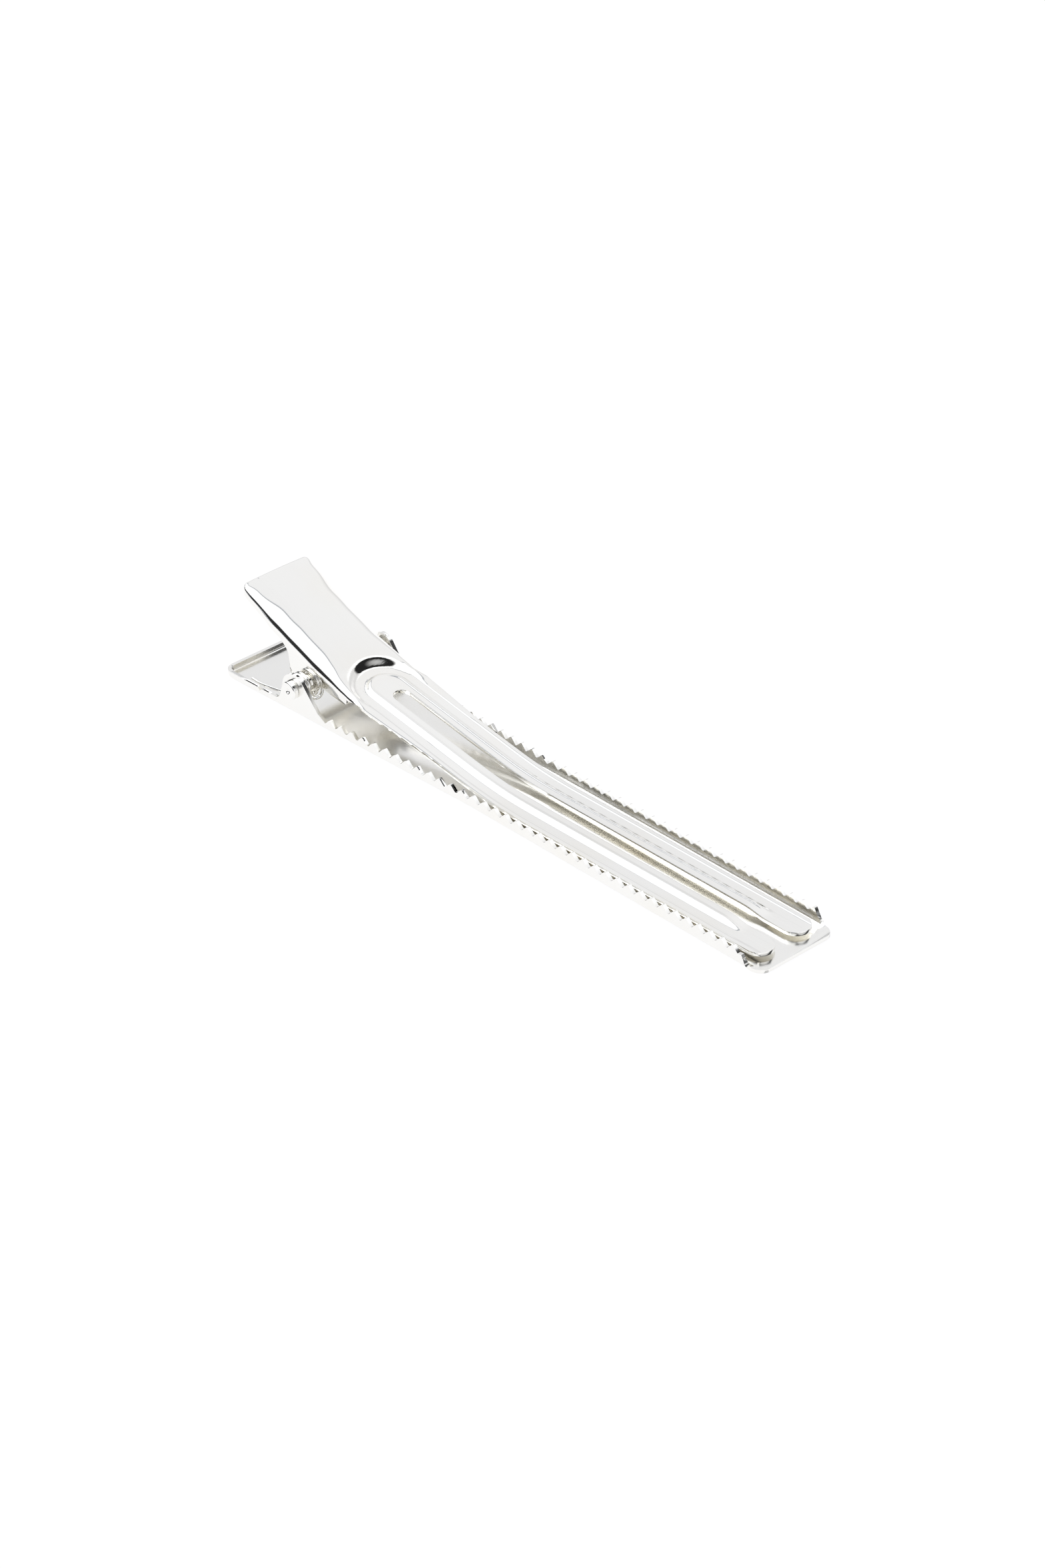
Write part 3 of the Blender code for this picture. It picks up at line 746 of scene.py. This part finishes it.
def plating(name, wander, grain_low, grain_high, roughness):
    material = bpy.data.materials.new(name)
    material.use_nodes = True
    graph = Graph(material.node_tree)
    coords = graph.node("ShaderNodeTexCoord", output=3)
    slow = graph.node("ShaderNodeTexNoise", {"noise_dimensions": "3D"},
                      {"Vector": coords, "Scale": 210.0, "Detail": 1.0, "Roughness": 0.4})
    stretched = graph.node("ShaderNodeMapping", {}, {"Vector": coords, "Scale": (0.12, 1.0, 1.0)})
    lines = graph.node("ShaderNodeTexNoise", {}, {"Vector": stretched, "Scale": 5200.0, "Detail": 3.0})
    specks = graph.node("ShaderNodeTexNoise", {}, {"Vector": coords, "Scale": 3800.0, "Detail": 2.0})
    stain = graph.node("ShaderNodeTexNoise", {}, {"Vector": coords, "Scale": 90.0, "Detail": 4.0})
    split = graph.node("ShaderNodeSeparateXYZ", {}, {"Vector": coords}, output=1)
    on_slope = split.size().within(0.0021, 0.0023) * (1.0 - split.size().within(0.0030, 0.0032))
    grain = grain_low + on_slope * (grain_high - grain_low)
    wave = graph.node("ShaderNodeBump", {}, {"Height": slow, "Strength": 1.0, "Distance": wander})
    polish = graph.node("ShaderNodeBump", {}, {"Height": lines, "Strength": 0.35, "Distance": 6e-7,
                                              "Normal": wave})
    peel = graph.node("ShaderNodeBump", {}, {"Height": specks * grain, "Strength": 1.0, "Distance": 1e-6,
                                            "Normal": polish})
    colour = graph.mix(stain.within(0.45, 0.75) * 0.5, PLATING, PLATING_WARM)
    rough = roughness + lines * 0.03 + stain.within(0.5, 0.8) * 0.02
    shader = graph.node("ShaderNodeBsdfPrincipled", {}, {"Base Color": colour, "Metallic": 1.0,
                                                        "Roughness": rough, "Normal": peel})
    graph.node("ShaderNodeOutputMaterial", {}, {"Surface": shader})
    return material


def wear(piece, material, body, node):
    piece.data.materials.clear()
    piece.data.materials.append(material)
    if body:
        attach(piece, body)
    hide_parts(node)
    print(piece.name, "is finished in", material.name)


wear(upper_jaw, plating("upper_plating", 3.0e-5, 0.6, 8.0, 0.035), "upper", "upper_jaw")
wear(lower_jaw, plating("lower_plating", 4.0e-5, 0.8, 0.8, 0.17), "lower", "lower_jaw")
wear(pivot_pin, plating("rivet_plating", 0.8e-5, 1.0, 1.0, 0.06), "lower", "pivot_pin")
wear(spring, plating("wire_plating", 0.8e-5, 1.5, 1.5, 0.08), None, "torsion_spring")

# %% [markdown]
# The spring's coils sit round the rivet and its bridge lies under the thumb plate.  Two heights are given for
# where the wire would stay with the lower jaw and where it would follow the thumb plate.  The spring itself is
# only baked in place and belongs to neither body, so nothing here bends it as the clip opens.

# %% Spring across the hinge
SPRING_STAYS_BELOW = 6.3
SPRING_FOLLOWS_ABOVE = 10.4
place(0.0, 0.0, SPRING_STAYS_BELOW)
place(0.0, 0.0, SPRING_FOLLOWS_ABOVE)
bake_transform(spring)


# %% [markdown]
# ## The studio
# A mirror shows the room, so the room is the real finish.  Here it is a bright white table, a pale
# backdrop, a softbox at the front left, grey walls above, a dark gap low down at the sides and a dark
# strip at the right.  The gap draws the thin black line along the rolled edges, and the strip draws the
# black arc round the pan.

# %% Floor
bm = bmesh.new()
bmesh.ops.create_grid(bm, x_segments=8, y_segments=8, size=1.2)
bm.transform(Matrix.Translation((0.0, 0.0, -0.00002)))
floor = finish_mesh(bm, "table_top")
floor_material = bpy.data.materials.new("white_table")
floor_material.use_nodes = True
graph = Graph(floor_material.node_tree)
paper = graph.node("ShaderNodeTexNoise", {}, {"Scale": 400.0})
tone = graph.mix(paper.within(0.3, 0.7), (0.12, 0.12, 0.12), (0.13, 0.13, 0.13))
shader = graph.node("ShaderNodeBsdfPrincipled", {}, {"Base Color": tone, "Roughness": 0.9,
                                                    "Emission Color": (0.99, 0.99, 1.0, 1.0),
                                                    "Emission Strength": 0.9})
graph.node("ShaderNodeOutputMaterial", {}, {"Surface": shader})
floor.data.materials.append(floor_material)


# %% Room
world = bpy.data.worlds.new("studio")
bpy.context.scene.world = world
world.use_nodes = True
graph = Graph(world.node_tree)
direction = graph.node("ShaderNodeTexCoord", output=0)
east = graph.node("ShaderNodeSeparateXYZ", {}, {"Vector": direction}, output=0)
north = graph.node("ShaderNodeSeparateXYZ", {}, {"Vector": direction}, output=1)
height = graph.node("ShaderNodeSeparateXYZ", {}, {"Vector": direction}, output=2)


def wall(stops):
    """One side of the room, as grey levels from the horizon (0) to overhead (1)."""
    cool = [(at, (level * 0.985, level * 0.99, level * 1.01)) for at, level in stops]
    return graph.node("ShaderNodeValToRGB", {"stops": cool}, {"Fac": height})


sides = wall([(0.0, 0.03), (0.38, 0.03), (0.46, 0.8), (0.55, 0.88), (0.8, 0.92), (1.0, 0.9)])
behind = wall([(0.0, 1.08), (0.2, 1.06), (0.32, 0.78), (0.42, 0.8), (0.54, 0.9), (0.72, 0.97),
               (1.0, 0.93)])
right = wall([(0.0, 0.9), (0.08, 0.02), (0.86, 0.02), (0.94, 0.88), (1.0, 0.9)])
to_back = (north * 0.88 - east * 0.47).within(0.35, 0.6)
to_right = east.within(0.36, 0.44) * (1.0 - east.within(0.66, 0.86))
beyond = east.within(0.66, 0.86)
edge_light = east.within(-0.06, 0.08) * (1.0 - beyond) * height.within(0.55, 0.65)
towards_key = east * -0.5 + north * -0.42 + height * 0.76
frame_of_key = towards_key.within(0.56, 0.58) * (1.0 - towards_key.within(0.62, 0.64))
key = towards_key.within(0.62, 0.66) * height.within(0.38, 0.46)
room = graph.mix(to_back, sides, behind)
room = graph.mix(frame_of_key, room, (0.5, 0.52, 0.56))
room = graph.mix(key, room, (1.12, 1.14, 1.17))
room = graph.mix(beyond, room, (0.86, 0.87, 0.89))
room = graph.mix(edge_light, room, (1.15, 1.17, 1.2))
room = graph.mix(to_right * north.within(-0.62, -0.42), room, right)
# The dark gap is only for reflections: a camera that looks past the table sees a white backdrop.
seen_directly = graph.node("ShaderNodeLightPath", output=0)
room = graph.mix(seen_directly, room, (0.98, 0.98, 0.99))
background = graph.node("ShaderNodeBackground", {}, {"Color": room, "Strength": 1.0})
graph.node("ShaderNodeOutputWorld", {}, {"Surface": background})


# %% Softbox and light paths
KEY_PLACE = Vector((-0.5, -0.7, 1.1))

light = bpy.data.lights.new("key_softbox", "AREA")
light.shape = "RECTANGLE"
light.size = 0.9
light.size_y = 0.9
light.energy = 4.0
lamp = bpy.data.objects.new("key_softbox", light)
bpy.context.scene.collection.objects.link(lamp)
lamp.location = KEY_PLACE
lamp.rotation_euler = (-KEY_PLACE).to_track_quat("-Z", "Y").to_euler()

scene = bpy.context.scene
scene.view_settings.view_transform = "Standard"
scene.cycles.max_bounces = 14
scene.cycles.glossy_bounces = 12
